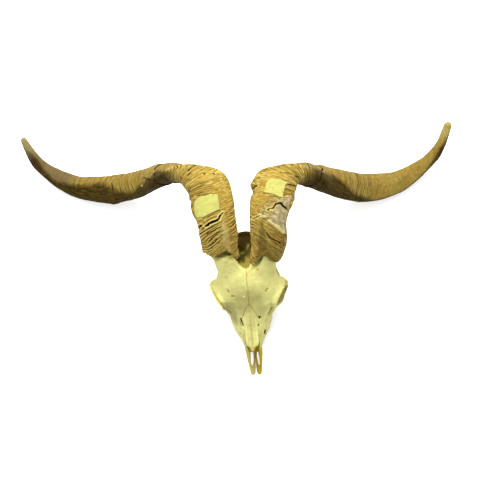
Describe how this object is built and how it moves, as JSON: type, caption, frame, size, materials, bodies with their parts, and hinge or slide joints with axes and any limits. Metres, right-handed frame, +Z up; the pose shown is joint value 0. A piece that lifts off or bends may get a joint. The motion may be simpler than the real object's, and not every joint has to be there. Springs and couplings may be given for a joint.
{
  "type": "goat skull",
  "caption": "Dry skull of a long-horned domestic goat buck, no lower jaw, with wide twisted horns that each carry a bare paper tape label, lying on its teeth and horn bends.",
  "frame": {"origin": "bottom centre of the bounding box, on the surface that the skull lies on", "axes": "+Z up, +X along the spread of the horns, -Y towards the tip of the nose; left in a node's name is the -X side, as seen from above with the nose pointing at the viewer"},
  "size_m": [0.728, 0.4267, 0.2125],
  "materials": {
    "bone": "dry, matte cream bone",
    "horn": "dry ridged horn with a faint sheen",
    "tape": "pale yellow paper tape"
  },
  "bodies": {
    "root": {"cranium": "bone", "upper_jaw": "bone", "nasal_left": "bone", "nasal_right": "bone", "premaxilla_left": "bone", "premaxilla_right": "bone", "horn_left": "horn", "horn_right": "horn", "label_left": "tape", "label_right": "tape"}
  },
  "joints": []
}
